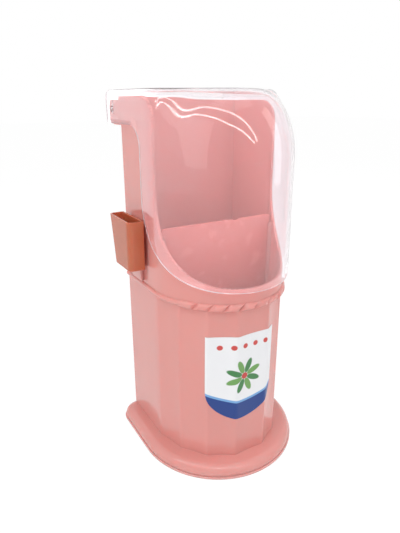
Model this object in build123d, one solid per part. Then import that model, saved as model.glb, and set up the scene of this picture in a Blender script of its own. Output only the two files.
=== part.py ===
from build123d import *
from math import atan2, copysign, cos, exp, hypot, pi, radians, sin, sqrt
import os

# Tall kitchen holder for chopsticks and spoons: a D-shaped column with a fluted lower front, a rope bead and a
# U-shaped mouth, standing in a drip tray, with a loose divider, a clear lid hinged behind the back wall and a
# small toothpick cup that slides onto a dovetail rail on the left side. Millimetres, +Z up, X to the right,
# the mouth faces -Y, and the origin is under the middle of the whole holder's footprint box.
# Sizes below are given with X = 0 on the column's middle; the pieces are moved to the origin when written.

# ---- column -------------------------------------------------------------------------------------------------
column_half_width = 52.5    # flat sides at X = +- this
column_back_y = 40.5        # outside of the flat back wall
crease_y = -9.0             # where the flat sides turn into the round front
front_axis = 59.0           # how far the oval front stands before the crease line
oval_blend = 0.28           # 0 gives the front arc an ellipse's end radius, 1 the half width
column_top_z = 275.4
wall = 2.2
back_corner = 2.5

# ---- bead, rope and flutes on the column's front --------------------------------------------------------------
bead_z = 137.0
bead_height = 4.0
bead_proud = 1.9
bead_crown = 0.2            # flat left between the roundings of the bead and of the rope
rope_first_cusp = 1         # the rope spans the flutes from this cusp to its mirror image
rope_turns_per_flute = 2
rope_height = 5.6
rope_proud = 2.4
rope_slant = 48.0           # degrees from level
rope_notch_depth = 2.3
flute_count = 7
flute_start_y = -17.5       # the first and last cusps stand here on the oval
flute_sink = 1.2            # how far each flute is hollowed below the chord between its cusps
flute_top_drop = 1.5        # from the bead's middle down to the flutes' tops, which end inside the bead

# ---- mouth: the cut seen from the side ------------------------------------------------------------------------
mouth_edge_y = -15.5        # upright front edges of the side walls
mouth_corner = 16.0         # rounding between those edges and the top
mouth_bend_z = 213.0        # where the upright edges start to sweep forward
mouth_pull_z = 157.0        # control point of the sweep, below its upper end
mouth_pull_y = -66.0        # control point of the sweep, behind its front end
mouth_rise = 13.1           # from the bead's middle up to the mouth's lowest point

# ---- skirt and drip tray ----------------------------------------------------------------------------------------
skirt_flare_side = 13.0     # from the column's sides, front and back out to the tray's edge
skirt_flare_front = 13.5
skirt_flare_back = 3.0
skirt_arc_shift = 6.0       # the tray's round front starts this far before the column's
skirt_top_z = 9.6
skirt_round = 6.5
skirt_wall = 2.0
skirt_inset = 0.8           # the skirt stands this far inside the tray's lip
tray_corner = 13.0
lip_height = 2.2
lip_round = 0.6
lip_step = 0.5              # shadow groove under the skirt
lip_land = 1.2              # width of the groove's floor
tray_floor_underside = 0.8
tray_floor_thickness = 1.6
tray_rim_inset = 5.0        # upstanding rim inside the skirt
tray_rim_wall = 1.8
tray_rim_gap = 1.6          # between the rim's top and the skirt's inside

# ---- floor drains -----------------------------------------------------------------------------------------------
drain_width = 3.0
drain_length = 15.0
drain_pitch_x = 12.5
drain_margin = 8.0          # between the outermost slots and the walls
drain_rows_y = (24.0, 2.0, -38.0)

# ---- divider and its guides ----------------------------------------------------------------------------------------
divider_y = -19.0           # front face
divider_thickness = 2.0
divider_top_z = 186.6
divider_side_gap = 0.6
divider_corner = 2.0
divider_nick_x = 15.0       # shallow nick in the top edge, where the moulding's gate was cut off
divider_nick_width = 7.0
divider_nick_depth = 1.2
guide_depth = 3.8
guide_thickness = 1.5
guide_gap = 0.3
guide_drop = 6.5            # from the divider's top down to the guides' tops

# ---- hinge -----------------------------------------------------------------------------------------------------------
hinge_reach = 10.5          # from the back wall to the pins' centre
hinge_drop = 9.4            # from the column's top to the pins' centre
pin_radius = 2.5
pin_clearance = 0.08
pin_length = 5.5
lug_thickness = 6.0
lug_drop = 11.0             # lug material below the pin's centre
lug_reach = 7.0             # lug material behind and above the pin's centre
lug_round = 6.0

# ---- lid ------------------------------------------------------------------------------------------------------------
lid_wall = 1.8
lid_side_gap = 0.7          # between the column's side and the lid's inside
lid_top_gap = 3.1           # between the column's top and the lid's inside
lid_front_gap_low = 4.2     # between the column's front, carried on upwards, and the lid's inside
lid_front_gap_high = 2.6    # the same where the dome starts
lid_overlap = 0.9           # the lid's lower edge hangs this far below the mouth's
lid_rear_reach = 10.5       # from the pins' centre to the arms' rear ends
lid_round_rear = (4.0, 5.0)     # inward and downward reach of the top rounding at the arms
lid_round_front = (28.0, 48.0)  # and round the front
lid_round_mid_y = -24.0     # the rounding grows from one to the other about here
lid_round_spread = 7.0
lid_dome_steps = 12         # level bands in the dome
lid_side_points = 8         # points along each side of a level outline
lid_arc_points = 14         # and along each half of its front
lid_spare = 2.0             # the lid's blocks start this far below its lower edge
arm_drop = 10.0             # from the pins' centre to the arms' lower edge
arm_corner = 2.5
arm_inner_round = 15.0
band_edge_y = 1.0           # rear edge of the lid's side bands
band_drop = 48.8            # from the arms' lower edge to where that edge starts to sweep forward
band_front_y = -79.8        # where it would run level, just before the lid's front

# ---- toothpick cup and its rail ----------------------------------------------------------------------------------------
rail_y = 15.0
rail_half_width = 9.0       # at its outer face
rail_undercut = 1.8
rail_proud = 2.7
rail_top_z = 184.0
rail_length = 43.5
rail_clearance = 0.3
cup_back_gap = 3.0          # from the column's side to the cup's back
cup_depth = 12.2
cup_front_y = (-2.5, -3.5)  # at the bottom and at the rim
cup_rear_y = (29.0, 36.0)
cup_height = 37.1
cup_cover = 6.0             # the cup's rim stands this far above the rail's top
cup_wall = 1.4
cup_corner = 4.5
cup_inner_corner = 0.7
cup_hook_width = 1.8
cup_hook_gap = 0.5          # between the hooks behind the cup and the column's side
cup_hook_drop = 1.0         # from the cup's rim to the top of its hooks

# ---- label ------------------------------------------------------------------------------------------------------------------
label_left_x = -34.3
label_right_x = 22.0
label_top_z = 114.0
label_side_z = 65.0         # the straight sides end here
label_bottom_z = 42.0
label_thickness = 0.25
label_gap = 0.05

# ---- common --------------------------------------------------------------------------------------------------------------
seat_gap = 0.1              # between pieces that rest on each other
least_corner = 0.4          # corners never get sharper than this when a plan is shrunk
cut_spare = 1.0             # how far a cut runs past the face it opens
overcut = 20.0              # how far the large cutting solids run past the column
path_steps = 4000           # points on the front's path, along which cusps and rope turns are spaced

# ---- worked out from the sizes above ---------------------------------------------------------------------------------
floor_z = skirt_top_z       # the column's floor and the skirt's top are one plate
under_skirt_z = skirt_top_z - skirt_wall
flute_top_z = bead_z - flute_top_drop
mouth_bottom_z = bead_z + mouth_rise
guide_top_z = divider_top_z - guide_drop
tray_half_width = column_half_width + skirt_flare_side
tray_arc_y = crease_y - skirt_arc_shift
tray_front_axis = front_axis + skirt_flare_front - skirt_arc_shift
tray_back_y = column_back_y + skirt_flare_back
tray_rim_top_z = under_skirt_z - tray_rim_gap
hinge_y = column_back_y + hinge_reach
hinge_z = column_top_z - hinge_drop
lid_rear_y = hinge_y + lid_rear_reach
lid_top_z = column_top_z + lid_top_gap + lid_wall
lid_low_z = mouth_bottom_z - lid_overlap
lid_half_width = column_half_width + lid_side_gap + lid_wall
lid_front_axis_low = front_axis + lid_front_gap_low + lid_wall
lid_front_axis_high = front_axis + lid_front_gap_high + lid_wall
arm_bottom_z = hinge_z - arm_drop
band_bend_z = arm_bottom_z - band_drop
rail_low_z = rail_top_z - rail_length
cup_top_z = rail_top_z + cup_cover
cup_bottom_z = cup_top_z - cup_height
cup_outer_x = column_half_width + cup_back_gap + cup_depth
footprint_shift_x = (cup_outer_x - tray_half_width) / 2
footprint_shift_y = (tray_front_axis - tray_arc_y - lid_rear_y) / 2


def oval(half_width, axis):
    """Three-centred front that runs into the flat sides: side and front radius, and where the arcs meet.

    The front arc's centre stands set_back before the crease line, and join is the turn from the side's
    outward direction at which a side arc gives way to the front arc.
    """
    end_radius = half_width ** 2 / axis
    front = end_radius + oval_blend * (half_width - end_radius)
    set_back = axis - front
    side = (half_width ** 2 + set_back ** 2 - front ** 2) / (2 * (half_width - front))
    join = atan2(abs(set_back), abs(side - half_width))
    return side, front, set_back, join


def d_plan(half_width, axis, arc_y, back_y, corner, inset=0.0):
    """D-shaped plan: flat back and sides, three-centred front, shrunk on all sides by inset."""
    side, front, set_back, join = oval(half_width, axis)
    a, back = half_width - inset, back_y - inset
    r = max(corner - inset, least_corner)
    join_x = (front - inset) * cos(join)
    join_y = arc_y - set_back - (front - inset) * sin(join)
    with BuildSketch() as plan:
        with BuildLine():
            Line((-a, arc_y), (-a, back - r))
            RadiusArc((-a, back - r), (-a + r, back), r)
            Line((-a + r, back), (a - r, back))
            RadiusArc((a - r, back), (a, back - r), r)
            Line((a, back - r), (a, arc_y))
            RadiusArc((a, arc_y), (join_x, join_y), side - inset)
            RadiusArc((join_x, join_y), (-join_x, join_y), front - inset)
            RadiusArc((-join_x, join_y), (-a, arc_y), side - inset)
        make_face()
    return plan.sketch


def column_plan(inset=0.0):
    return d_plan(column_half_width, front_axis, crease_y, column_back_y, back_corner, inset)


def tray_plan(inset=0.0):
    return d_plan(tray_half_width, tray_front_axis, tray_arc_y, tray_back_y, tray_corner, inset)


def prism(plan, z0, z1):
    return Pos(0, 0, z0) * extrude(plan, z1 - z0)


def side_cut(profile, half_width):
    """Solid of a closed (Y, Z) profile run through the object along X."""
    return extrude(Plane.YZ * profile, half_width, both=True)


def front_point(turn):
    """Point of the column's front where its outward direction has turned this far from the left side's."""
    side, front, set_back, join = oval(column_half_width, front_axis)
    if min(turn, pi - turn) > join:
        return -front * cos(turn), crease_y - set_back - front * sin(turn)
    centre_x = copysign(side - column_half_width, cos(turn))
    return centre_x - side * cos(turn), crease_y - side * sin(turn)


def front_path(start_y):
    """Points along the column's front between its two places at start_y, with the length up to each."""
    points = [front_point(pi * i / path_steps) for i in range(path_steps + 1)]
    points = [point for point in points if point[1] <= start_y]
    lengths = [0.0]
    for p, q in zip(points, points[1:]):
        lengths.append(lengths[-1] + hypot(q[0] - p[0], q[1] - p[1]))
    return points, lengths


def path_at(path, share):
    """Point and direction at a share of a path's length."""
    points, lengths = path
    target = share * lengths[-1]
    i = min(range(len(points)), key=lambda j: abs(lengths[j] - target))
    before, after = points[max(i - 1, 0)], points[min(i + 1, len(points) - 1)]
    return points[i], Vector(after[0] - before[0], after[1] - before[1], 0).normalized()


def front_cusps():
    """Cusp points at equal distances along the column's front, from left to right."""
    path = front_path(flute_start_y)
    return [path_at(path, k / flute_count)[0] for k in range(flute_count + 1)]


def flute_circles():
    """Centre and radius of the upright cylinder that hollows each flute."""
    circles = []
    cusps = front_cusps()
    for p, q in zip(cusps, cusps[1:]):
        half_chord = hypot(q[0] - p[0], q[1] - p[1]) / 2
        radius = (half_chord ** 2 + flute_sink ** 2) / (2 * flute_sink)
        middle = ((p[0] + q[0]) / 2, (p[1] + q[1]) / 2)
        normal = ((q[1] - p[1]) / (2 * half_chord), -(q[0] - p[0]) / (2 * half_chord))
        reach = radius - flute_sink
        circles.append((middle[0] + normal[0] * reach, middle[1] + normal[1] * reach, radius))
    return circles


def fluted_column(inset, z0, z1):
    """The column's outside, or a copy of it moved inwards by inset, with its flutes."""
    solid = prism(column_plan(inset), z0, z1)
    height = flute_top_z + inset - z0 + overcut
    for x, y, radius in flute_circles():
        solid -= Pos(x, y, z0 - overcut) * Cylinder(radius + inset, height,
                                                    align=(Align.CENTER, Align.CENTER, Align.MIN))
    return solid


def inner_half_width(y):
    """Half the inside width of the fluted part of the column at y."""
    side, front, set_back, join = oval(column_half_width, front_axis)
    depth = max(crease_y - y, 0)
    if depth < (side - wall) * sin(join):
        half = column_half_width - side + sqrt((side - wall) ** 2 - depth ** 2)
    else:
        half = sqrt((front - wall) ** 2 - (depth - set_back) ** 2)
    for x0, y0, radius in flute_circles():
        if x0 > 0 and abs(y - y0) < radius + wall:
            half = min(half, x0 - sqrt((radius + wall) ** 2 - (y - y0) ** 2))
    return half


def mouth_profile():
    """Everything in front of the side walls' edges and above the front wall's curved edge."""
    far = column_top_z + overcut
    front = crease_y - front_axis
    with BuildSketch() as profile:
        with BuildLine():
            Line((front - overcut, far), (mouth_edge_y + mouth_corner, far))
            Line((mouth_edge_y + mouth_corner, far), (mouth_edge_y + mouth_corner, column_top_z))
            RadiusArc((mouth_edge_y + mouth_corner, column_top_z),
                      (mouth_edge_y, column_top_z - mouth_corner), -mouth_corner)
            Line((mouth_edge_y, column_top_z - mouth_corner), (mouth_edge_y, mouth_bend_z))
            Bezier((mouth_edge_y, mouth_bend_z), (mouth_edge_y, mouth_pull_z),
                   (mouth_pull_y, mouth_bottom_z), (front, mouth_bottom_z))
            Line((front, mouth_bottom_z), (front - overcut, mouth_bottom_z))
            Line((front - overcut, mouth_bottom_z), (front - overcut, far))
        make_face()
    return profile.sketch


def raised_band(proud, height):
    """Half-round band all round the column at the bead's height."""
    band = prism(column_plan(-proud), bead_z - height / 2, bead_z + height / 2)
    rims = band.edges().group_by(Axis.Z)[0] + band.edges().group_by(Axis.Z)[-1]
    return fillet(rims, (height - bead_crown) / 2)


def half_space(y, towards_back):
    """Box that keeps what lies behind, or before, the plane at y."""
    side = Align.MIN if towards_back else Align.MAX
    width = 2 * (column_half_width + overcut)
    depth = front_axis + column_back_y + 2 * overcut
    return Pos(0, y, bead_z) * Box(width, depth, overcut, align=(Align.CENTER, side, Align.CENTER))


def bead():
    """Plain bead along both sides and the first flutes; the rope takes its place across the front."""
    rope_y = front_cusps()[rope_first_cusp][1]
    behind_back = half_space(column_back_y, True)
    return raised_band(bead_proud, bead_height) & half_space(rope_y, True) - behind_back


def rope():
    """Fatter bead across the front, notched aslant so that it reads as the turns of a twisted rope."""
    rope_y = front_cusps()[rope_first_cusp][1]
    band = raised_band(rope_proud, rope_height) & half_space(rope_y, False)
    path = front_path(rope_y)
    turns = rope_turns_per_flute * (flute_count - 2 * rope_first_cusp)
    bar_side = 2 * rope_notch_depth
    bar = Rot(45, 0, 0) * Box(3 * rope_height, bar_side, bar_side)
    for k in range(1, turns):
        (x, y), tangent = path_at(path, k / turns)
        outward = Vector(tangent.Y, -tangent.X, 0)
        lay = tangent * cos(radians(rope_slant)) + Vector(0, 0, 1) * sin(radians(rope_slant))
        reach = rope_proud - rope_notch_depth + bar_side / sqrt(2)
        centre = Vector(x, y, bead_z) + outward * reach
        band -= Location(Plane(origin=centre, x_dir=lay, z_dir=outward)) * bar
    return band


def hinge_lugs():
    """Two ears behind the back wall that carry the lid's stub pins."""
    far_y = hinge_y + lug_reach
    near_y = column_back_y - wall / 2
    top_z = hinge_z + lug_reach
    low_z = hinge_z - lug_drop
    with BuildSketch() as side:
        with BuildLine():
            Polyline((near_y, low_z), (far_y, low_z), (far_y, top_z), (near_y, top_z), close=True)
        make_face()
        fillet(side.vertices().group_by(Axis.X)[-1], lug_round)
        with Locations((hinge_y, hinge_z)):
            Circle(pin_radius + pin_clearance, mode=Mode.SUBTRACT)
    lug = extrude(Plane.YZ * side.sketch, lug_thickness)
    return [Pos(column_half_width - lug_thickness, 0, 0) * lug, Pos(-column_half_width, 0, 0) * lug]


def guide_ribs():
    """Pairs of upright ribs on both inner walls that the divider drops between."""
    ribs = []
    low_z = floor_z - skirt_wall / 2
    inner = column_half_width - wall
    slot_front = divider_y - guide_gap
    slot_rear = divider_y + divider_thickness + guide_gap
    for y in (slot_front - guide_thickness, slot_rear):
        for side in (-1, 1):
            rib = Box(guide_depth + wall, guide_thickness, guide_top_z - low_z,
                      align=(Align.CENTER, Align.MIN, Align.MIN))
            ribs.append(Pos(side * (inner - guide_depth / 2 + wall / 2), y, low_z) * rib)
    return ribs


def drains():
    """Slots through the floor, in rows, as many to a row as the width there takes."""
    slots = Sketch()
    for y in drain_rows_y:
        half = inner_half_width(y - drain_length / 2) - drain_margin
        columns = int((2 * half - drain_width) / drain_pitch_x) + 1
        slots += Pos(0, y) * GridLocations(drain_pitch_x, 1, columns, 1) * SlotOverall(
            drain_length, drain_width, rotation=90)
    return prism(slots, under_skirt_z - cut_spare, floor_z + cut_spare)


def rail_section(extra=0.0):
    """Dovetail plan of the cup's rail: wide at its face, narrow at the wall it grows out of."""
    wall_x = -column_half_width
    root_x = wall_x + wall / 2
    face_x = wall_x - rail_proud - extra
    half_face, half_root = rail_half_width + extra, rail_half_width - rail_undercut + extra
    with BuildSketch() as section:
        with BuildLine():
            Polyline((root_x, rail_y - half_root), (wall_x, rail_y - half_root),
                     (face_x, rail_y - half_face), (face_x, rail_y + half_face),
                     (wall_x, rail_y + half_root), (root_x, rail_y + half_root), close=True)
        make_face()
    return section.sketch


def body_shell():
    """Column, skirt, bead, rope, guides, hinge lugs and rail, all one moulding."""
    skirt = prism(tray_plan(skirt_inset), lip_height + seat_gap, skirt_top_z)
    skirt = fillet(skirt.edges().group_by(Axis.Z)[-1], skirt_round)
    hollow = prism(tray_plan(skirt_inset + skirt_wall), -cut_spare, under_skirt_z)
    hollow = fillet(hollow.edges().group_by(Axis.Z)[-1], skirt_round - skirt_wall)
    solid = fluted_column(0.0, under_skirt_z, column_top_z) + bead() + rope() + skirt
    solid -= hollow
    solid -= fluted_column(wall, floor_z, column_top_z + overcut)
    ribs = Part() + guide_ribs()
    solid += ribs & fluted_column(wall / 2, 0, column_top_z)
    solid += hinge_lugs()
    solid += prism(rail_section(), rail_low_z, rail_top_z)
    solid -= side_cut(mouth_profile(), tray_half_width)
    solid -= drains()
    return solid


def drip_tray():
    """Shallow tray whose lip shows under the skirt and whose rim stands up inside it."""
    groove_z = lip_height - lip_step
    lip = prism(tray_plan(), 0, lip_height)
    lip = fillet(lip.edges().group_by(Axis.Z)[-1], lip_round)
    groove = prism(tray_plan(-cut_spare), groove_z, lip_height + cut_spare)
    groove -= prism(tray_plan(lip_land), groove_z - cut_spare, lip_height + 2 * cut_spare)
    inside = tray_plan(tray_rim_inset + tray_rim_wall)
    solid = lip - groove + prism(tray_plan(tray_rim_inset), 0, tray_rim_top_z)
    solid -= prism(inside, tray_floor_underside + tray_floor_thickness, tray_rim_top_z + cut_spare)
    solid -= prism(inside, -cut_spare, tray_floor_underside)
    return solid


def divider():
    """Loose panel that parts the column into a rear and a front compartment."""
    half = min(inner_half_width(divider_y), inner_half_width(divider_y + divider_thickness)) - divider_side_gap
    low_z = floor_z + seat_gap
    panel = Pos(0, divider_y, low_z) * Box(2 * half, divider_thickness, divider_top_z - low_z,
                                           align=(Align.CENTER, Align.MIN, Align.MIN))
    panel = fillet(panel.edges().filter_by(Axis.Y).group_by(Axis.Z)[-1], divider_corner)
    nick_radius = (divider_nick_width ** 2 / 4 + divider_nick_depth ** 2) / (2 * divider_nick_depth)
    nick_z = divider_top_z - divider_nick_depth + nick_radius
    nick = Rot(90, 0, 0) * Cylinder(nick_radius, 3 * divider_thickness)
    return panel - Pos(divider_nick_x, divider_y, nick_z) * nick


def lid_outline(z):
    """Points of the lid's level outline at height z before any rounding, each with its outward normal."""
    dome_z = lid_top_z - lid_round_front[1]
    share = min(max((z - lid_low_z) / (dome_z - lid_low_z), 0), 1)
    axis = lid_front_axis_low + (lid_front_axis_high - lid_front_axis_low) * share
    outline = []
    for i in range(lid_side_points):
        outline.append((-lid_half_width, lid_rear_y + (crease_y - lid_rear_y) * i / lid_side_points, -1.0, 0.0))
    for i in range(lid_arc_points + 1):
        t = pi + pi / 2 * i / lid_arc_points
        nx, ny = cos(t) / lid_half_width, sin(t) / axis
        size = hypot(nx, ny)
        outline.append((lid_half_width * cos(t), crease_y + axis * sin(t), nx / size, ny / size))
    return outline


def lid_section(z, inset):
    """Level face of the lid at height z, moved inwards by inset; the top rounding draws it in further."""
    top = lid_top_z - inset
    points = []
    for x, y, nx, ny in lid_outline(z):
        grow = 1 / (1 + exp((y - lid_round_mid_y) / lid_round_spread))
        inward = lid_round_rear[0] + (lid_round_front[0] - lid_round_rear[0]) * grow - inset
        down = lid_round_rear[1] + (lid_round_front[1] - lid_round_rear[1]) * grow - inset
        rise = min(max((z - (top - down)) / down, 0), 1)
        drawn = inset + inward * (1 - sqrt(1 - rise ** 2))
        points.append((x - nx * drawn, y - ny * drawn))
    points += [(-x, y) for x, y in reversed(points[:-1])]
    spots = [Vector(x, y, z) for x, y in points]
    marks = [i / (len(spots) - 1) for i in range(len(spots))]
    edge = Edge.make_spline(spots, parameters=marks)
    back = Edge.make_line(spots[-1], spots[0])
    return Face(Wire([edge, back]))


def lid_block(inset):
    """Closed dome that the lid's outside, or with an inset its inside, is cut from."""
    top = lid_top_z - inset
    dome_z = lid_top_z - lid_round_front[1]
    heights = [lid_low_z - lid_spare]
    heights += [dome_z + (top - dome_z) * sin(pi / 2 * k / lid_dome_steps) for k in range(lid_dome_steps)]
    return loft([lid_section(z, inset) for z in heights + [top]], ruled=True)


def lid_profile():
    """Side view of the lid: rear arms, side bands and the level lower edge across the front."""
    far_y = crease_y - lid_front_axis_low - overcut
    far_z = lid_top_z + overcut
    with BuildSketch() as profile:
        with BuildLine():
            Line((lid_rear_y, far_z), (lid_rear_y, arm_bottom_z + arm_corner))
            RadiusArc((lid_rear_y, arm_bottom_z + arm_corner), (lid_rear_y - arm_corner, arm_bottom_z), arm_corner)
            Line((lid_rear_y - arm_corner, arm_bottom_z), (band_edge_y + arm_inner_round, arm_bottom_z))
            RadiusArc((band_edge_y + arm_inner_round, arm_bottom_z),
                      (band_edge_y, arm_bottom_z - arm_inner_round), -arm_inner_round)
            Line((band_edge_y, arm_bottom_z - arm_inner_round), (band_edge_y, band_bend_z))
            EllipticalCenterArc((band_front_y, band_bend_z), band_edge_y - band_front_y, band_bend_z - lid_low_z,
                                start_angle=0, arc_size=-90)
            Line((band_front_y, lid_low_z), (far_y, lid_low_z))
            Line((far_y, lid_low_z), (far_y, far_z))
            Line((far_y, far_z), (lid_rear_y, far_z))
        make_face()
    return profile.sketch


def flip_lid():
    """Thin clear dome, open at the rear and below, with two stub pins inside its rear arms."""
    inside = column_half_width + lid_side_gap
    under_round = lid_top_z - lid_wall - lid_round_rear[1]
    rear_opening = Pos(0, lid_rear_y, 0) * Box(2 * inside, 2 * overcut, 2 * under_round)
    solid = lid_block(0.0) - lid_block(lid_wall) - rear_opening
    solid &= side_cut(lid_profile(), tray_half_width)
    pin = Rot(0, 90, 0) * Cylinder(pin_radius, pin_length + lid_wall / 2,
                                   align=(Align.CENTER, Align.CENTER, Align.MIN))
    solid += Pos(-inside - lid_wall / 2, hinge_y, hinge_z) * pin
    solid += Pos(inside - pin_length, hinge_y, hinge_z) * pin
    return solid


def cup_plan(level, inset):
    """Level outline of the cup at its bottom (0) or rim (1), shrunk on all sides by inset."""
    back_x = -column_half_width - cup_back_gap - inset
    outer_x = -cup_outer_x + inset
    y0, y1 = cup_front_y[level] + inset, cup_rear_y[level] - inset
    with BuildSketch(Plane.XY.offset((cup_bottom_z, cup_top_z)[level])) as plan:
        with BuildLine():
            Polyline((back_x, y0), (back_x, y1), (outer_x, y1), (outer_x, y0), close=True)
        make_face()
        fillet(plan.vertices().group_by(Axis.X)[0], max(cup_corner - inset, least_corner))
        fillet(plan.vertices().group_by(Axis.X)[-1], max(cup_inner_corner - inset, least_corner))
    return plan.sketch.face()


def cup_block(inset):
    """Tapered block between the two levels."""
    return loft([cup_plan(0, inset), cup_plan(1, inset)])


def toothpick_cup():
    """Tapered cup with a pair of hooks behind it that slide down over the rail until they meet its top."""
    solid = cup_block(0.0)
    hollow = cup_block(cup_wall)
    solid -= split(hollow, bisect_by=Plane.XY.offset(cup_bottom_z + cup_wall), keep=Keep.TOP)
    hook_half = rail_half_width + rail_clearance + cup_hook_width - rail_undercut / 2
    solid += Pos(-column_half_width - cup_back_gap, rail_y, cup_bottom_z) * Box(
        cup_back_gap - cup_hook_gap, 2 * hook_half, cup_height - cup_hook_drop,
        align=(Align.MIN, Align.CENTER, Align.MIN))
    solid -= prism(rail_section(rail_clearance), cup_bottom_z - cut_spare, rail_top_z + seat_gap)
    return solid


def label():
    """Sticker that follows the flutes of the lower front."""
    skin = fluted_column(-label_gap - label_thickness, label_bottom_z - cut_spare, label_top_z + cut_spare)
    skin -= fluted_column(-label_gap, label_bottom_z - 2 * cut_spare, label_top_z + 2 * cut_spare)
    middle = (label_left_x + label_right_x) / 2
    half = (label_right_x - label_left_x) / 2
    with BuildSketch(Plane.XZ) as outline:
        with BuildLine():
            Line((label_left_x, label_side_z), (label_left_x, label_top_z))
            Line((label_left_x, label_top_z), (label_right_x, label_top_z))
            Line((label_right_x, label_top_z), (label_right_x, label_side_z))
            EllipticalCenterArc((middle, label_side_z), half, label_side_z - label_bottom_z,
                                start_angle=180, arc_size=180)
        make_face()
    return skin & extrude(outline.sketch, front_axis - crease_y + overcut)


makers = {
    "body_shell": body_shell,
    "drip_tray": drip_tray,
    "divider": divider,
    "flip_lid": flip_lid,
    "toothpick_cup": toothpick_cup,
    "label": label,
}

os.makedirs("parts", exist_ok=True)
for name, make in makers.items():
    export_step(Pos(footprint_shift_x, footprint_shift_y, 0) * make(), f"parts/{name}.step")
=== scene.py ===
"""Looks of the chopstick holder: salmon pink column and tray, clear lid, terracotta cup, plain label."""
import math

import bmesh
import bpy
from mathutils import Matrix, Vector


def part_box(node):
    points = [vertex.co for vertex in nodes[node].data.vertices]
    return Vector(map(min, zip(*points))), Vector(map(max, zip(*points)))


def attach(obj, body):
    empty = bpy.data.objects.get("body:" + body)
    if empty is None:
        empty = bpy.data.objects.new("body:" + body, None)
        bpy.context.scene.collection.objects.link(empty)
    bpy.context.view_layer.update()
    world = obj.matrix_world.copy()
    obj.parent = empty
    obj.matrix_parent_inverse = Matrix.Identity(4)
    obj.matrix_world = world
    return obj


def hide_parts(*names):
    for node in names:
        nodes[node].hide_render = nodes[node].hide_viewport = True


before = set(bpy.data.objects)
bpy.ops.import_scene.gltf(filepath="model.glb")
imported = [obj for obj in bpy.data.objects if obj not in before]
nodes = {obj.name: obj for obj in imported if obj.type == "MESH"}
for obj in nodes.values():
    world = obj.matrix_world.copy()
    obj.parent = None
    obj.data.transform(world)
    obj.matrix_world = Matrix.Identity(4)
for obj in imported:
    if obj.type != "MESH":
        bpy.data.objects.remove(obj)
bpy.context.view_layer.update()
MM = 0.001

# ---- camera, fitted to the photograph's 400 x 533 frame ------------------------------------------
FRAME_LONG_SIDE_PX = 533
FOCAL_PX = 466.18
SENSOR_MM = 36.0
CAMERA_AT = Vector((-185.816, -296.721, 273.120)) * MM
CAMERA_DOWN_DEG = 19.706
CAMERA_TURN_DEG = -30.484

# ---- lid: the same sizes as the solid that it stands for, in mm ----------------------------------
COLUMN_MIDDLE = Vector((1.1, 10.0, 0.0))     # where the column's own X = 0, Y = 0 stands in the frame
LID_WALL = 1.8
LID_HALF_WIDTH = 55.0
LID_TOP = 280.3
LID_LOW = 149.2
LID_REAR = 61.5
LID_CREASE = -9.0                            # Y where the flat sides end and the oval front begins
LID_AXIS_LOW, LID_AXIS_HIGH = 65.0, 63.4     # front semi-axis at the lid's lower edge and at its dome
LID_ROUND_REAR = (4.0, 5.0)                  # top rounding, inwards and down, at the rear
LID_ROUND_FRONT = (28.0, 48.0)               # and at the front
LID_ROUND_MID, LID_ROUND_SPREAD = -24.0, 7.0     # Y halfway between them, and how soon it changes
ARM_BOTTOM = 256.0
ARM_CORNER = 2.5
ARM_INNER_ROUND = 15.0
BAND_EDGE, BAND_BEND, BAND_FRONT = 1.0, 207.2, -79.8
HINGE_Y, HINGE_Z = 51.0, 266.0
PIN_RADIUS, PIN_LENGTH, PIN_SEGMENTS = 2.5, 5.5, 40
SIDE_STEPS, ARC_STEPS, WALL_STEPS, ROUND_STEPS = 36, 56, 10, 20
SIDE_CROWDING = 0.8                          # below 1, the sides' lines crowd towards the crease
BLOCK_SPARE, PRISM_SPARE, PROFILE_SPARE = 4.0, 5.0, 10.0     # how far cutting shapes reach past the lid
RIM_BEVEL, RIM_REACH, RIM_FACING = 0.35, 0.5, 0.6            # cut edge: bevel, its faces' distance and turn
BEVEL_ABOVE_DEG, LID_SHARP_DEG = 50, 40

# ---- how near counts as the same place, in mm ----------------------------------------------------
WELD, CUT_SNAP, TOUCH, LEVEL_SLACK, ON_SURFACE = 0.0005, 0.002, 0.01, 0.02, 0.09

# ---- column's front, in mm; lengths along it run from its left crease ----------------------------
HALF_WIDTH, CREASE, FRONT_AXIS, OVAL_BLEND = 52.5, -9.0, 59.0, 0.28
WALL, FLOOR, FLUTE_TOP, FLUTES = 2.2, 9.6, 135.5, 7
SOLID_START_Y, SOLID_SINK = -17.5, 1.2                       # flutes of the solid: first cusp, depth
FLUTE_WIDTH, MIDDLE_WIDTH, FLUTE_SINK = 22.6, 27.2, 0.7      # flutes in the photograph
CUSP_SOFTNESS = 1.1
FLUTE_LINES = (0.22, 0.36, 0.5, 0.64, 0.78)                  # upright lines across a flute, as shares of it
CUSP_LINES = (-3.2, -2.0, -1.2, -0.5, 0.0, 0.5, 1.2, 2.0, 3.2)   # and at each cusp
END_MARGIN, CUT_REACH = 0.2, 40.0                            # last line to the end, and a line's reach
DIRECTION_STEP = 0.1                                         # to either side, when a direction is taken
UPRIGHT_MOST, LEVEL_LEAST = 0.05, 0.85                       # the normal's Z: upright, nearly level
COLUMN_SHARP_DEG, LARGE_FACE_WEIGHT = 32, 90

# ---- label, in mm: sides as lengths along the front, then heights --------------------------------
LABEL_LEFT, LABEL_RIGHT, LABEL_TOP, LABEL_SIDE, LABEL_FOOT = 49.8, 109.3, 113.6, 68.2, 43.2
LABEL_INSETS = (-0.30, -0.05)                                # outer and inner skin, behind the flutes
LABEL_ACROSS, LABEL_UP, LABEL_SHARP_DEG = 72, 10, 35

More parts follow.
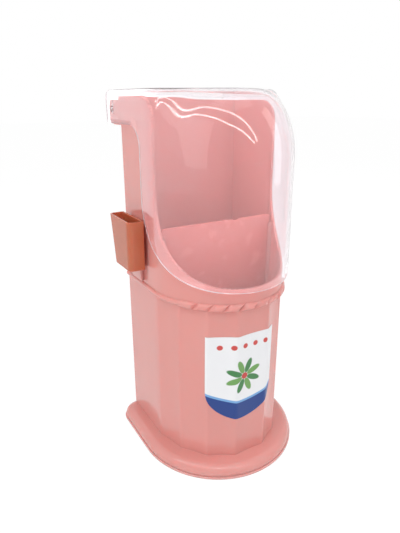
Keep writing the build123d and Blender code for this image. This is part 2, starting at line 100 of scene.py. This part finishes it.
# ---- lamps, in metres; the thin ones' power in watts per metre -----------------------------------
BOX_AIM, TUBE_AIM = Vector((0.0, 0.0, 0.14)), Vector((0.0, 0.0, 0.2))
TUBE_WIDTH, TUBE_POWER = 0.035, 1.2
UPPER_TUBES = ((-0.87, 0.13, 0.82), (-0.50, -0.02, 1.14), (-0.34, -0.36, 1.16), (0.13, -0.84, 0.86),
               (0.35, -0.95, 0.54))
LOWER_TUBES = ((-0.93, 0.11, 0.72), (-0.69, -0.07, 1.00), (-0.34, -0.75, 0.90), (0.27, -0.99, 0.52))


def placed(name, data):
    """A new object in the scene."""
    made = bpy.data.objects.new(name, data)
    bpy.context.scene.collection.objects.link(made)
    return made


# ---- shader helpers ------------------------------------------------------------------------------
class Shader:
    """A material with its Principled shader and short calls for the nodes that feed it."""

    def __init__(self, name):
        self.material = bpy.data.materials.new(name)
        self.material.use_nodes = True
        self.tree = self.material.node_tree
        self.surface = self.tree.nodes["Principled BSDF"]

    def set(self, **values):
        for name, value in values.items():
            self.surface.inputs[name.replace("_", " ")].default_value = value
        return self

    def feed(self, socket, source):
        self.tree.links.new(source, socket)

    def node(self, kind, **inputs):
        """A node with its inputs, values or sockets, given by name or, as _0, _1 and so on, by place."""
        made = self.tree.nodes.new(kind)
        for name, value in inputs.items():
            socket = made.inputs[int(name[1:]) if name[0] == "_" else name]
            if isinstance(value, bpy.types.NodeSocket):
                self.feed(socket, value)
            else:
                socket.default_value = value
        return made

    def math(self, operation, first, second=0.0):
        made = self.node("ShaderNodeMath", _0=first, _1=second)
        made.operation = operation
        return made.outputs[0]

    def place(self, stretch=(1.0, 1.0, 1.0)):
        """Object coordinates in metres, stretched."""
        coordinates = self.node("ShaderNodeTexCoord").outputs["Object"]
        return self.node("ShaderNodeMapping", Vector=coordinates, Scale=stretch).outputs[0]

    def noise(self, scale, detail=3.0, stretch=(1.0, 1.0, 1.0)):
        made = self.node("ShaderNodeTexNoise", Vector=self.place(stretch), Scale=scale, Detail=detail)
        return made.outputs[0]

    def between(self, factor, low, high):
        """A number that runs from low to high as factor runs from 0 to 1."""
        return self.node("ShaderNodeMapRange", Value=factor, **{"To Min": low, "To Max": high}).outputs[0]

    def mix(self, factor, first, second):
        made = self.tree.nodes.new("ShaderNodeMix")
        made.data_type = "RGBA"
        for index, value in ((0, factor), (6, first), (7, second)):
            socket = made.inputs[index]
            if isinstance(value, bpy.types.NodeSocket):
                self.feed(socket, value)
            else:
                socket.default_value = value
        return made.outputs[2]

    def bump(self, height, strength, distance, edge_radius=0.0):
        """Relief from a height, over edges that are softened to a radius."""
        made = self.node("ShaderNodeBump", Height=height, Strength=strength, Distance=distance)
        if edge_radius:
            soft = self.node("ShaderNodeBevel", Radius=edge_radius)
            soft.samples = 6
            self.feed(made.inputs["Normal"], soft.outputs[0])
        self.feed(self.surface.inputs["Normal"], made.outputs[0])


def moulded_plastic(name, colour, darker, rough, edge_radius):
    """Glossy moulded plastic: cloudy colour, uneven gloss, orange peel and faint upright flow lines."""
    peel, streak = 0.05, 0.06
    made = Shader(name).set(IOR=1.5, Subsurface_Weight=0.5, Subsurface_Radius=(1.0, 0.3, 0.27),
                            Subsurface_Scale=0.004)
    cloud = made.noise(14.0, 4.0)
    flow = made.noise(60.0, 2.0, (1.0, 1.0, 0.06))
    both = made.math("ADD", made.math("MULTIPLY", cloud, 0.6), made.math("MULTIPLY", flow, 0.4))
    made.feed(made.surface.inputs["Base Color"], made.mix(both, darker, colour))
    made.feed(made.surface.inputs["Roughness"], made.between(made.noise(90.0, 4.0), rough[0], rough[1]))
    fine = made.math("MULTIPLY", made.noise(420.0, 2.0), peel)
    lines = made.math("MULTIPLY", flow, streak)
    made.bump(made.math("ADD", fine, lines), 0.35, 0.0006, edge_radius)
    return made


def clear_plastic(name):
    """Clear polished plastic, slightly hazy and wavy, which lets the lamps' light through."""
    made = Shader(name).set(Transmission_Weight=0.95, IOR=1.47, Specular_IOR_Level=0.3)
    haze = made.noise(25.0, 3.0)
    made.feed(made.surface.inputs["Base Color"],
              made.mix(haze, (0.955, 0.91, 0.94, 1), (0.985, 0.95, 0.97, 1)))
    made.feed(made.surface.inputs["Roughness"], made.between(made.noise(60.0, 3.0), 0.015, 0.05))
    made.bump(made.noise(18.0, 1.0), 0.03, 0.0008)
    passed = made.node("ShaderNodeBsdfTransparent", Color=(0.74, 0.61, 0.62, 1))
    path = made.node("ShaderNodeLightPath")
    both = made.node("ShaderNodeMixShader", Fac=path.outputs["Is Shadow Ray"])
    made.feed(both.inputs[1], made.surface.outputs[0])
    made.feed(both.inputs[2], passed.outputs[0])
    made.feed(made.tree.nodes["Material Output"].inputs["Surface"], both.outputs[0])
    return made


def painted_edge_highlight(name):
    """The lid's cut edge, painted pale and milky: a painted highlight in place of the light that the clear
    edge gathers.
    """
    made = Shader(name).set(Transmission_Weight=0.35, IOR=1.47)
    # Painted highlight: a near-white colour that stands in for the light the clear cut edge gathers.
    made.feed(made.surface.inputs["Base Color"],
              made.mix(made.noise(70.0, 2.0), (0.90, 0.85, 0.88, 1), (0.98, 0.95, 0.97, 1)))
    made.feed(made.surface.inputs["Roughness"], made.between(made.noise(120.0, 2.0), 0.18, 0.34))
    made.bump(made.noise(160.0, 2.0), 0.08, 0.0004)
    return made


def put_on(piece, shader):
    piece.data.materials.clear()
    piece.data.materials.append(shader.material)


# ---- lid mesh ------------------------------------------------------------------------------------
def lid_outline(rear):
    """Samples along the lid's level outline, left rear to right rear: side flag, y or arc angle."""
    shares = [(i / SIDE_STEPS) ** SIDE_CROWDING for i in range(SIDE_STEPS)]
    samples = [("left", rear + (LID_CREASE - rear) * share) for share in shares]
    samples += [("arc", math.pi + math.pi * i / (2 * ARC_STEPS)) for i in range(2 * ARC_STEPS + 1)]
    samples += [("right", y) for _, y in reversed(samples[:SIDE_STEPS])]
    return samples


def lid_foot(sample, axis):
    """Point on the outline and its outward normal, for a front semi-axis."""
    kind, value = sample
    if kind == "arc":
        x, y = LID_HALF_WIDTH * math.cos(value), LID_CREASE + axis * math.sin(value)
        normal = Vector((math.cos(value) / LID_HALF_WIDTH, math.sin(value) / axis)).normalized()
        return x, y, normal.x, normal.y
    side = -1.0 if kind == "left" else 1.0
    return side * LID_HALF_WIDTH, value, side, 0.0


def lid_column(sample, inset, low):
    """Points up one line of the lid's wall and over its top rounding."""
    top = LID_TOP - inset
    grow = 1 / (1 + math.exp((lid_foot(sample, LID_AXIS_HIGH)[1] - LID_ROUND_MID) / LID_ROUND_SPREAD))
    inward = LID_ROUND_REAR[0] + (LID_ROUND_FRONT[0] - LID_ROUND_REAR[0]) * grow - inset
    down = LID_ROUND_REAR[1] + (LID_ROUND_FRONT[1] - LID_ROUND_REAR[1]) * grow - inset
    dome = LID_TOP - LID_ROUND_FRONT[1]
    points = []
    for i in range(WALL_STEPS):
        z = low + (top - down - low) * i / WALL_STEPS
        share = min(max((z - LID_LOW) / (dome - LID_LOW), 0), 1)
        x, y, nx, ny = lid_foot(sample, LID_AXIS_LOW + (LID_AXIS_HIGH - LID_AXIS_LOW) * share)
        points.append((x - nx * inset, y - ny * inset, z))
    x, y, nx, ny = lid_foot(sample, LID_AXIS_HIGH)
    for i in range(ROUND_STEPS + 1):
        angle = math.pi / 2 * i / ROUND_STEPS
        drawn = inset + inward * (1 - math.cos(angle))
        points.append((x - nx * drawn, y - ny * drawn, top - down + down * math.sin(angle)))
    return points


def solid_object(name, fill):
    """An object whose mesh fill(bm) makes, in mm about the column's middle, moved into the frame."""
    bm = bmesh.new()
    fill(bm)
    bmesh.ops.recalc_face_normals(bm, faces=bm.faces)
    bmesh.ops.scale(bm, vec=(MM, MM, MM), verts=bm.verts)
    bmesh.ops.translate(bm, vec=COLUMN_MIDDLE * MM, verts=bm.verts)
    mesh = bpy.data.meshes.new(name)
    bm.to_mesh(mesh)
    bm.free()
    return placed(name, mesh)


def lid_block(name, inset, low, rear):
    """Closed dome, straight-backed, that the lid is cut from."""
    def fill(bm):
        lines = [[bm.verts.new(p) for p in lid_column(s, inset, low)] for s in lid_outline(rear)]
        for one, two in zip(lines, lines[1:]):
            for k in range(len(one) - 1):
                bm.faces.new((one[k], two[k], two[k + 1], one[k + 1]))
        bm.faces.new([line[-1] for line in lines])
        bm.faces.new([line[0] for line in reversed(lines)])
        bm.faces.new(lines[0] + lines[-1][::-1])
    return solid_object(name, fill)


def quarter(centre, radius, start_deg, end_deg, steps=10):
    """Points on an arc of a circle or, with two radii, of an ellipse."""
    ry, rz = radius if isinstance(radius, tuple) else (radius, radius)
    angles = [math.radians(start_deg + (end_deg - start_deg) * i / steps) for i in range(steps + 1)]
    return [(centre[0] + ry * math.cos(a), centre[1] + rz * math.sin(a)) for a in angles]


def lid_profile():
    """Side view (y, z) of what is kept of the dome: rear arms, side bands and the level lower edge."""
    far, front = LID_TOP + PROFILE_SPARE, LID_CREASE - LID_AXIS_LOW - PROFILE_SPARE
    points = [(LID_REAR, far)]
    points += quarter((LID_REAR - ARM_CORNER, ARM_BOTTOM + ARM_CORNER), ARM_CORNER, 0, -90)
    points += quarter((BAND_EDGE + ARM_INNER_ROUND, ARM_BOTTOM - ARM_INNER_ROUND), ARM_INNER_ROUND,
                      90, 180, 16)
    points += quarter((BAND_FRONT, BAND_BEND), (BAND_EDGE - BAND_FRONT, BAND_BEND - LID_LOW), 0, -90, 64)
    points += [(front, LID_LOW), (front, far)]
    return points


def profile_prism(name, points, half):
    """Prism over a side view, from -half to half across."""
    def fill(bm):
        left = [bm.verts.new((-half, y, z)) for y, z in points]
        right = [bm.verts.new((half, y, z)) for y, z in points]
        count = len(points)
        for i in range(count):
            j = (i + 1) % count
            bm.faces.new((left[i], left[j], right[j], right[i]))
        bm.faces.new(left[::-1])
        bm.faces.new(right)
    return solid_object(name, fill)


def pin(name, side):
    """Stub pin that stands inwards from one arm, -1 for the left and 1 for the right."""
    def fill(bm):
        inside = LID_HALF_WIDTH - LID_WALL
        length = PIN_LENGTH + LID_WALL / 2
        turn = Matrix.Rotation(math.pi / 2, 4, "Y")
        middle = Vector((side * (inside + LID_WALL / 2 - length / 2), HINGE_Y, HINGE_Z))
        bmesh.ops.create_cone(bm, cap_ends=True, segments=PIN_SEGMENTS, radius1=PIN_RADIUS,
                              radius2=PIN_RADIUS, depth=length, matrix=Matrix.Translation(middle) @ turn)
    return solid_object(name, fill)


def combine(target, tool, operation):
    cut = target.modifiers.new(operation.lower(), "BOOLEAN")
    cut.operation = operation
    cut.object = tool
    cut.solver = "EXACT"
    bake(target)
    bpy.data.objects.remove(tool)


def bake(target):
    """Applies every modifier of the object."""
    graph = bpy.context.evaluated_depsgraph_get()
    mesh = bpy.data.meshes.new_from_object(target.evaluated_get(graph))
    target.modifiers.clear()
    target.data = mesh


def shade(target, sharp_deg):
    """Smooth shading, with edges sharp where faces turn by more than an angle."""
    target.data.polygons.foreach_set("use_smooth", [True] * len(target.data.polygons))
    target.data.set_sharp_from_angle(angle=math.radians(sharp_deg))


def rim_faces(lid):
    """The lid's faces that lie on its cut edge, across the wall."""
    points = [Vector(p) for p in lid_profile()]
    runs = [(one, two - one) for one, two in zip(points, points[1:] + points[:1])]
    runs = [(start, run) for start, run in runs if run.length > TOUCH]
    found = []
    for face in lid.data.polygons:
        spot = (face.center / MM - COLUMN_MIDDLE).yz
        for start, run in runs:
            share = min(max((spot - start).dot(run) / run.length_squared, 0.0), 1.0)
            across = Vector((-run.y, run.x)).normalized()
            away = (start + run * share - spot).length
            if away < RIM_REACH and abs(face.normal.yz.dot(across)) > RIM_FACING:
                found.append(face)
                break
    return found


def clear_lid():
    """The lid, cut from a hollow dome, with its pins, a fine bevel and a cut edge painted pale as a
    highlight.
    """
    lid = lid_block("clear_lid", 0.0, LID_LOW - BLOCK_SPARE, LID_REAR + BLOCK_SPARE)
    hollow = lid_block("hollow", LID_WALL, LID_LOW - 2 * BLOCK_SPARE, LID_REAR + 2 * BLOCK_SPARE)
    combine(lid, hollow, "DIFFERENCE")
    combine(lid, profile_prism("profile", lid_profile(), LID_HALF_WIDTH + PRISM_SPARE), "INTERSECT")
    for side in (-1, 1):
        combine(lid, pin(f"pin_{side}", side), "UNION")
    rim = lid.modifiers.new("rim", "BEVEL")
    rim.width = RIM_BEVEL * MM
    rim.segments = 2
    rim.limit_method = "ANGLE"
    rim.angle_limit = math.radians(BEVEL_ABOVE_DEG)
    bake(lid)
    shade(lid, LID_SHARP_DEG)
    put_on(lid, clear_plastic("clear_polished_plastic"))
    # The cut edge's faces take the painted highlight.
    lid.data.materials.append(painted_edge_highlight("cut_edge_painted_highlight").material)
    for face in rim_faces(lid):
        face.material_index = 1
    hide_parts("flip_lid")
    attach(lid, "lid")


# ---- flutes --------------------------------------------------------------------------------------
class Oval:
    """The column's three-centred front, from crease to crease, in mm about the column's middle."""

    def __init__(self):
        end = HALF_WIDTH ** 2 / FRONT_AXIS
        self.front = end + OVAL_BLEND * (HALF_WIDTH - end)
        self.back = FRONT_AXIS - self.front
        self.side = (HALF_WIDTH ** 2 + self.back ** 2 - self.front ** 2) / (2 * (HALF_WIDTH - self.front))
        self.join = math.atan2(abs(self.back), abs(self.side - HALF_WIDTH))
        self.middle = self.side * self.join + self.front * (math.pi / 2 - self.join)

    def at(self, length):
        """Point at a length from the left crease, and the direction from there into the column."""
        near = min(length, 2 * self.middle - length)
        turn = near / self.side
        if turn > self.join:
            turn = self.join + (near - self.side * self.join) / self.front
            x, y = -self.front * math.cos(turn), CREASE - self.back - self.front * math.sin(turn)
        else:
            x, y = self.side - HALF_WIDTH - self.side * math.cos(turn), CREASE - self.side * math.sin(turn)
        flip = 1 if length <= self.middle else -1
        return Vector((x * flip, y)), Vector((math.cos(turn) * flip, math.sin(turn)))

    def locate(self, x, y):
        """Length along the front and depth behind it of a point."""
        flip = 1 if x <= 0 else -1
        turn = math.atan2(CREASE - self.back - y, abs(x))
        if turn > self.join:
            length = self.side * self.join + self.front * (turn - self.join)
            depth = self.front - math.hypot(x, CREASE - self.back - y)
        else:
            across = self.side - HALF_WIDTH + abs(x)
            length = self.side * math.atan2(CREASE - y, across)
            depth = self.side - math.hypot(across, CREASE - y)
        return (length if flip == 1 else 2 * self.middle - length), depth


class Hollows:
    """Flutes between cusps on the oval, each hollowed by an upright cylinder."""

    def __init__(self, oval, cusps, sink, softness=0.0):
        self.oval, self.cusps, self.softness, self.circles = oval, cusps, softness, []
        for one, two in zip(cusps, cusps[1:]):
            p, q = oval.at(one)[0], oval.at(two)[0]
            half = (q - p).length / 2
            radius = (half ** 2 + sink ** 2) / (2 * sink)
            outward = Vector((q.y - p.y, p.x - q.x)).normalized()
            self.circles.append(((p + q) / 2 + outward * (radius - sink), radius))

    def sharp_depth(self, length, inset):
        """Depth behind the oval with sharp cusps."""
        point, inward = self.oval.at(length)
        deepest = inset
        for centre, radius in self.circles:
            along = (centre - point).dot(inward)
            left = (radius + inset) ** 2 - (centre - point).length_squared + along ** 2
            if left > 0 > along:
                deepest = max(deepest, along + math.sqrt(left))
        return deepest

    def depth(self, length, inset):
        """Depth behind the oval of the fluted surface, moved inwards by inset, as a bell-shaped mean."""
        if not self.softness:
            return self.sharp_depth(length, inset)
        near = [(math.exp(-0.5 * (k / 2) ** 2), length + k * self.softness / 2) for k in range(-5, 6)]
        near = [(weight, min(max(spot, 0.0), 2 * self.oval.middle)) for weight, spot in near]
        return sum(w * self.sharp_depth(spot, inset) for w, spot in near) / sum(w for w, _ in near)

    def cuts(self):
        """Lengths at which the surface gets an upright line, close together at the cusps."""
        lines = []
        for one, two in zip(self.cusps, self.cusps[1:]):
            lines += [one + (two - one) * share for share in FLUTE_LINES]
        for cusp in self.cusps:
            lines += [cusp + step for step in CUSP_LINES]
        return sorted(line for line in lines if line > END_MARGIN / 2) + [2 * self.oval.middle - END_MARGIN]


def photographed_flutes(oval):
    """A wide flute in the middle and narrower ones on both sides of it, with soft cusps."""
    reach = [MIDDLE_WIDTH / 2 + FLUTE_WIDTH * k for k in range(FLUTES // 2 + 1)]
    cusps = [oval.middle - r for r in reversed(reach)] + [oval.middle + r for r in reach]
    return Hollows(oval, cusps, FLUTE_SINK, CUSP_SOFTNESS)


def front_label():
    """Film on the photographed flutes, with upright sides, a level top and a round foot."""
    oval = Oval()
    seen = photographed_flutes(oval)
    middle, half = (LABEL_LEFT + LABEL_RIGHT) / 2, (LABEL_RIGHT - LABEL_LEFT) / 2
    across, up = LABEL_ACROSS, LABEL_UP

    def fill(bm):
        skins = []
        for inset in LABEL_INSETS:
            rows = []
            for i in range(across + 1):
                turn = math.pi * (i / across - 0.5)
                spot = middle + half * math.sin(turn)
                point, inward = oval.at(spot)
                foot = point + inward * seen.depth(spot, inset)
                low = LABEL_SIDE - (LABEL_SIDE - LABEL_FOOT) * math.cos(turn)
                heights = [low + (LABEL_TOP - low) * k / up for k in range(up + 1)]
                rows.append([bm.verts.new((foot.x, foot.y, z)) for z in heights])
            skins.append(rows)
        for rows in skins:
            for one, two in zip(rows, rows[1:]):
                for k in range(up):
                    bm.faces.new((one[k], two[k], two[k + 1], one[k + 1]))
        outer, inner = skins
        for i in range(across):
            for k in (0, up):
                bm.faces.new((outer[i][k], outer[i + 1][k], inner[i + 1][k], inner[i][k]))
        for i in (0, across):
            for k in range(up):
                bm.faces.new((outer[i][k], outer[i][k + 1], inner[i][k + 1], inner[i][k]))
    made = solid_object("front_label", fill)
    shade(made, LABEL_SHARP_DEG)
    return made


def refluted(name, node, insets, low, high):
    """Copy of a CAD node whose fluted surfaces follow the photographed flutes in place of the solid's."""
    oval = Oval()
    start = oval.side * math.asin((CREASE - SOLID_START_Y) / oval.side)
    step = 2 * (oval.middle - start) / FLUTES
    solid = Hollows(oval, [start + step * k for k in range(FLUTES + 1)], SOLID_SINK)
    seen = photographed_flutes(oval)

    bm = bmesh.new()
    bm.from_mesh(node.data)
    bmesh.ops.translate(bm, vec=-COLUMN_MIDDLE * MM, verts=bm.verts)
    bmesh.ops.scale(bm, vec=(1 / MM, 1 / MM, 1 / MM), verts=bm.verts)
    bmesh.ops.remove_doubles(bm, verts=bm.verts, dist=WELD)
    layer = bm.faces.layers.int.new("surface")

    def surface_of(vert):
        """Which inset surface of the solid a vertex lies on, as its number from 1, or 0 for none."""
        if vert.co.y > CREASE + TOUCH or not low - LEVEL_SLACK <= vert.co.z <= high + LEVEL_SLACK:
            return 0
        length, depth = oval.locate(vert.co.x, vert.co.y)
        for index, inset in enumerate(insets):
            if abs(depth - solid.depth(length, inset)) < ON_SURFACE:
                return index + 1
        return 0

    bm.verts.index_update()
    found = [surface_of(vert) for vert in bm.verts]
    for face in bm.faces:
        kinds = {found[vert.index] for vert in face.verts}
        upright = abs(face.normal.z) < UPRIGHT_MOST
        face[layer] = kinds.pop() if len(kinds) == 1 and upright else 0

    for cut in seen.cuts():
        point, inward = oval.at(min(cut, 2 * oval.middle))
        across = Vector((-inward.y, inward.x, 0.0))
        place = Vector((point.x, point.y, 0.0))
        crossed = []
        for face in bm.faces:
            if face[layer]:
                sides = [(vert.co - place).dot(across) for vert in face.verts]
                near = (face.verts[0].co.xy - point).length < CUT_REACH
                if near and min(sides) < -TOUCH and max(sides) > TOUCH:
                    crossed.append(face)
        if crossed:
            geometry = set(crossed)
            for face in crossed:
                geometry.update(face.edges)
                geometry.update(face.verts)
            bmesh.ops.bisect_plane(bm, geom=list(geometry), dist=CUT_SNAP, plane_co=place, plane_no=across)

    moves = {}
    for face in bm.faces:
        if face[layer]:
            for vert in face.verts:
                moves[vert] = face[layer] - 1
    for vert, index in moves.items():
        length = min(max(oval.locate(vert.co.x, vert.co.y)[0], 0.0), 2 * oval.middle)
        point, inward = oval.at(length)
        vert.co.xy = point + inward * seen.depth(length, insets[index])
    bmesh.ops.triangulate(bm, faces=[face for face in bm.faces if len(face.verts) > 4])
    bm.normal_update()
    bm.verts.index_update()

    def facing(vert, inset, face_normal):
        """The fluted surface's own direction at a vertex, on the side that the face looks to."""
        length = oval.locate(vert.co.x, vert.co.y)[0]
        ends = []
        for spot in (max(length - DIRECTION_STEP, 0.0), min(length + DIRECTION_STEP, 2 * oval.middle)):
            point, inward = oval.at(spot)
            ends.append(point + inward * seen.depth(spot, inset))
        along = ends[1] - ends[0]
        normal = Vector((along.y, -along.x, 0.0)).normalized()
        return normal if normal.dot(face_normal) > 0 else -normal

    # Corner normals: the formula's on the flutes, upwards on the skirt's level top, none elsewhere.
    turned, known = [], {}
    for face in bm.faces:
        for loop in face.loops:
            if not face[layer]:
                level = face.normal.z > LEVEL_LEAST and abs(loop.vert.co.z - FLOOR) < TOUCH
                turned.append((0.0, 0.0, 1.0 if level else 0.0))
                continue
            key = (loop.vert.index, face[layer])
            if key not in known:
                known[key] = facing(loop.vert, insets[face[layer] - 1], face.normal)
            turned.append(tuple(known[key]))
    bmesh.ops.scale(bm, vec=(MM, MM, MM), verts=bm.verts)
    bmesh.ops.translate(bm, vec=COLUMN_MIDDLE * MM, verts=bm.verts)
    mesh = bpy.data.meshes.new(name)
    bm.to_mesh(mesh)
    bm.free()
    made = placed(name, mesh)
    shade(made, COLUMN_SHARP_DEG)
    weigh = made.modifiers.new("weigh", "WEIGHTED_NORMAL")
    weigh.keep_sharp = True
    weigh.mode = "FACE_AREA_WITH_ANGLE"
    weigh.weight = LARGE_FACE_WEIGHT
    bake(made)
    weighed = [tuple(corner.vector) for corner in made.data.corner_normals]
    made.data.normals_split_custom_set([own if any(own) else other for own, other in zip(turned, weighed)])
    return made


# ---- label: a plain design, no words -------------------------------------------------------------
def label_film():
    """White film: a blue foot under a pale line, a green rosette of leaves, red dots along its top."""
    made = Shader("label_film").set(Roughness=0.32, IOR=1.46)
    low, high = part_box("label")
    centre_x, width, top = (low.x + high.x) / 2 - 0.6 * MM, high.x - low.x, high.z
    split = made.node("ShaderNodeSeparateXYZ", Vector=made.place())
    x = made.math("SUBTRACT", split.outputs["X"], centre_x)
    z = split.outputs["Z"]

    def inside(distance, limit):
        """1 where distance is under limit, with an edge a fifth of a millimetre soft."""
        soft = 0.2 * MM
        return made.node("ShaderNodeMapRange", Value=distance, **{
            "From Min": limit + soft, "From Max": limit - soft, "To Min": 0.0, "To Max": 1.0}).outputs[0]

    def spot(at_x, at_z, half_long, half_wide, turn):
        """Ellipse, as a mask, turned by an angle from level."""
        dx, dz = made.math("SUBTRACT", x, at_x), made.math("SUBTRACT", z, at_z)
        cos, sin = math.cos(turn), math.sin(turn)
        along = made.math("ADD", made.math("MULTIPLY", dx, cos), made.math("MULTIPLY", dz, sin))
        across = made.math("SUBTRACT", made.math("MULTIPLY", dz, cos), made.math("MULTIPLY", dx, sin))
        pressed = made.math("DIVIDE", along, half_long / half_wide)
        squares = [made.math("MULTIPLY", side, side) for side in (pressed, across)]
        return inside(made.math("SQRT", made.math("ADD", *squares)), half_wide)

    colour = made.mix(made.noise(30.0), (0.80, 0.81, 0.83, 1), (0.87, 0.88, 0.90, 1))
    leaves, ring, rosette_z = 8, 8.5 * MM, top - 34 * MM
    for i in range(leaves):
        turn = math.pi * (2 * i + 1) / leaves
        leaf = spot(ring * math.cos(turn), rosette_z + ring * math.sin(turn), 6.0 * MM, 2.4 * MM, turn)
        green = (0.055, 0.22, 0.07, 1) if i % 2 else (0.16, 0.36, 0.10, 1)
        colour = made.mix(leaf, colour, green)
    colour = made.mix(spot(0.0, rosette_z, 2.6 * MM, 2.6 * MM, 0.0), colour, (0.55, 0.06, 0.05, 1))
    for i in (-2, -1, 0, 1, 2):
        dot = spot(i * 9.0 * MM, top - 9 * MM, 2.0 * MM, 2.0 * MM, 0.0)
        colour = made.mix(dot, colour, (0.60, 0.07, 0.06, 1))
    bow = made.math("MULTIPLY", made.math("MULTIPLY", x, x), 0.55 / width)
    foot = made.math("SUBTRACT", z, bow)
    blue, pale = (0.012, 0.05, 0.24, 1), (0.18, 0.40, 0.72, 1)
    colour = made.mix(inside(foot, low.z + 17.5 * MM), colour, pale)
    colour = made.mix(inside(foot, low.z + 15.5 * MM), colour, blue)
    made.feed(made.surface.inputs["Base Color"], colour)
    made.bump(made.noise(500.0), 0.1, 0.0002)
    return made


# ---- finish of the solids ------------------------------------------------------------------------
def finish_solids():
    """Materials on every solid, and the pieces that replace the column and the label."""
    body = moulded_plastic("salmon_plastic", (0.75, 0.335, 0.305, 1), (0.70, 0.295, 0.265, 1),
                           (0.09, 0.17), 0.4 * MM)
    tray = moulded_plastic("tray_plastic", (0.80, 0.40, 0.375, 1), (0.75, 0.36, 0.335, 1),
                           (0.16, 0.28), 0.3 * MM)
    panel = moulded_plastic("divider_plastic", (0.76, 0.28, 0.25, 1), (0.71, 0.24, 0.215, 1),
                            (0.20, 0.32), 0.5 * MM)
    cup = moulded_plastic("terracotta_plastic", (0.55, 0.15, 0.068, 1), (0.47, 0.115, 0.052, 1),
                          (0.14, 0.26), 0.4 * MM)
    printed = label_film()
    for node, shader in (("body_shell", body), ("drip_tray", tray), ("divider", panel),
                         ("toothpick_cup", cup), ("label", printed)):
        put_on(nodes[node], shader)
    column = refluted("column_and_skirt", nodes["body_shell"], (0.0, WALL), FLOOR, FLUTE_TOP + WALL)
    put_on(column, body)
    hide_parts("body_shell")
    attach(column, "column")
    film = front_label()
    put_on(film, printed)
    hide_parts("label")
    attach(film, "column")


# ---- stage ---------------------------------------------------------------------------------------
def seen_white(tree, surface, share, strength=1.0):
    """Mixes plain white light into a shader, for what the camera, reflections and clear parts see of it."""
    path = tree.nodes.new("ShaderNodeLightPath")
    white = tree.nodes.new("ShaderNodeEmission")
    white.inputs["Strength"].default_value = strength
    seen = path.outputs["Is Camera Ray"]
    for ray in ("Is Transmission Ray", "Is Glossy Ray"):
        most = tree.nodes.new("ShaderNodeMath")
        most.operation = "MAXIMUM"
        tree.links.new(seen, most.inputs[0])
        tree.links.new(path.outputs[ray], most.inputs[1])
        seen = most.outputs[0]
    scaled = tree.nodes.new("ShaderNodeMath")
    scaled.operation = "MULTIPLY"
    tree.links.new(seen, scaled.inputs[0])
    scaled.inputs[1].default_value = share
    mixed = tree.nodes.new("ShaderNodeMixShader")
    tree.links.new(scaled.outputs[0], mixed.inputs[0])
    tree.links.new(surface, mixed.inputs[1])
    tree.links.new(white.outputs[0], mixed.inputs[2])
    return mixed.outputs[0]


def floor():
    """Pale floor that is seen white and still takes the object's shadow."""
    mesh = bpy.data.meshes.new("floor")
    half = 6.0
    corners = [(-half, -half, 0), (half, -half, 0), (half, half, 0), (-half, half, 0)]
    mesh.from_pydata(corners, [], [(0, 1, 2, 3)])
    made = placed("floor", mesh)
    material = bpy.data.materials.new("pale_floor")
    material.use_nodes = True
    tree = material.node_tree
    tree.nodes.clear()
    matt = tree.nodes.new("ShaderNodeBsdfDiffuse")
    matt.inputs["Color"].default_value = (0.92, 0.92, 0.92, 1)
    out = tree.nodes.new("ShaderNodeOutputMaterial")
    tree.links.new(seen_white(tree, matt.outputs[0], 0.90, 1.06), out.inputs["Surface"])
    mesh.materials.append(material)


def sky(strength):
    """Plain white world, seen white, that lights the object at a strength."""
    world = bpy.data.worlds.new("studio")
    bpy.context.scene.world = world
    world.use_nodes = True
    tree = world.node_tree
    tree.nodes.clear()
    dome = tree.nodes.new("ShaderNodeBackground")
    dome.inputs["Color"].default_value = (1.0, 1.0, 1.0, 1)
    dome.inputs["Strength"].default_value = strength
    out = tree.nodes.new("ShaderNodeOutputWorld")
    tree.links.new(seen_white(tree, dome.outputs[0], 1.0), out.inputs["Surface"])


def area_lamp(name, width, height, power):
    """Rectangular lamp, not yet in its place."""
    light = bpy.data.lights.new(name, "AREA")
    light.shape = "RECTANGLE"
    light.size, light.size_y = width, height
    light.energy = power
    return placed(name, light)


def softbox(name, at, width, height, power):
    """Wide lamp aimed at the object's middle, which glossy surfaces don't mirror."""
    made = area_lamp(name, width, height, power)
    made.location = at
    made.rotation_euler = (BOX_AIM - Vector(at)).to_track_quat("-Z", "Y").to_euler()
    made.visible_glossy = False


def tube(name, start, end):
    """Thin lamp from start to end, facing the object, that shows as a bright line in glossy surfaces."""
    start, end = Vector(start), Vector(end)
    length, centre, along = (end - start).length, (start + end) / 2, (end - start).normalized()
    away = centre - TUBE_AIM
    away = (away - along * away.dot(along)).normalized()
    made = area_lamp(name, length, TUBE_WIDTH, TUBE_POWER * length)
    turn = Matrix((along, away.cross(along), away)).transposed().to_4x4()
    made.matrix_world = Matrix.Translation(centre) @ turn


def studio():
    sky(0.42)
    softbox("left_box", (-1.05, -0.35, 0.60), 0.7, 1.1, 3.8)
    softbox("right_box", (1.00, -0.50, 0.55), 0.35, 1.1, 3.2)
    softbox("top_box", (0.05, -0.25, 1.25), 0.9, 0.6, 2.4)
    softbox("back_box", (0.10, 1.20, 0.50), 0.8, 0.8, 1.8)
    for row, spots in (("upper", UPPER_TUBES), ("lower", LOWER_TUBES)):
        for i, (one, two) in enumerate(zip(spots, spots[1:])):
            tube(f"{row}_tube_{i}", one, two)


def camera():
    lens = bpy.data.cameras.new("camera")
    lens.sensor_width = SENSOR_MM
    lens.lens = SENSOR_MM * FOCAL_PX / FRAME_LONG_SIDE_PX
    lens.clip_start, lens.clip_end = 0.01, 20.0
    made = placed("camera", lens)
    made.location = CAMERA_AT
    made.rotation_euler = (math.radians(90 - CAMERA_DOWN_DEG), 0.0, math.radians(CAMERA_TURN_DEG))
    bpy.context.scene.camera = made


bpy.context.scene.view_settings.view_transform = "Standard"
finish_solids()
clear_lid()
floor()
studio()
camera()
